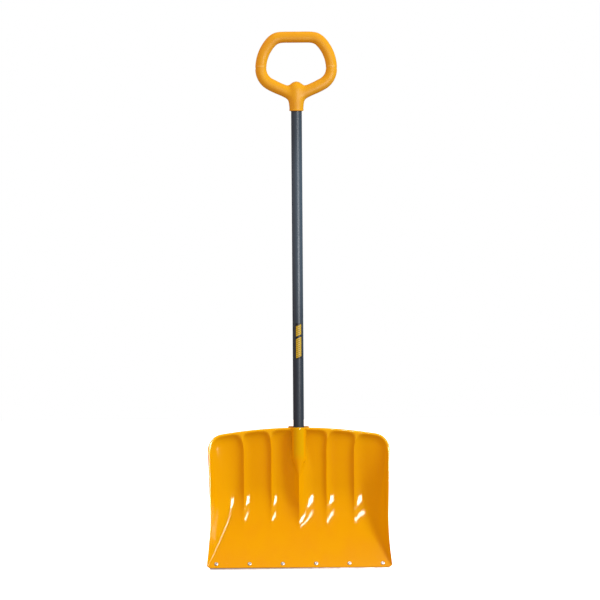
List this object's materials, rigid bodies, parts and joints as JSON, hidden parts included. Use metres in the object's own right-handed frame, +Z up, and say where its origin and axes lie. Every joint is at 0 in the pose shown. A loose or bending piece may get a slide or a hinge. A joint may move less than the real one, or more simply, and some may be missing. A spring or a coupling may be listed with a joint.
{
  "type": "snow shovel",
  "caption": "Upright snow shovel: fluted poly scoop with a riveted steel edge strip, straight painted steel tube and closed-loop hand grip.",
  "frame": {"origin": "middle of the wear strip's lower edge", "axes": "+Z up along the handle tube, +X across the scoop to the right as seen from its open face, +Y towards the rear, so the open face looks along -Y"},
  "size_m": [0.457, 0.1058, 1.3289],
  "materials": {
    "poly_orange": "glossy moulded polyethylene",
    "poly_yellow": "moulded plastic, satin with fine texture",
    "painted_steel": "slate blue paint, semi-gloss",
    "galvanised_steel": "thin galvanised sheet, dull",
    "zinc_steel": "bright zinc plating",
    "rivet_aluminium": "bright rolled aluminium",
    "label_film": "printed film with plain slanted marks"
  },
  "bodies": {
    "root": {"blade": "poly_orange", "grip": "poly_yellow", "grip_screw": "zinc_steel", "handle_tube": "painted_steel", "rivet_1": "rivet_aluminium", "rivet_2": "rivet_aluminium", "rivet_3": "rivet_aluminium", "rivet_4": "rivet_aluminium", "rivet_5": "rivet_aluminium", "rivet_6": "rivet_aluminium", "rivet_stem_1": "zinc_steel", "rivet_stem_2": "zinc_steel", "rivet_stem_3": "zinc_steel", "rivet_stem_4": "zinc_steel", "rivet_stem_5": "zinc_steel", "rivet_stem_6": "zinc_steel", "socket_screw_1": "zinc_steel", "socket_screw_2": "zinc_steel", "tube_label": "label_film", "wear_strip": "galvanised_steel"}
  },
  "joints": []
}
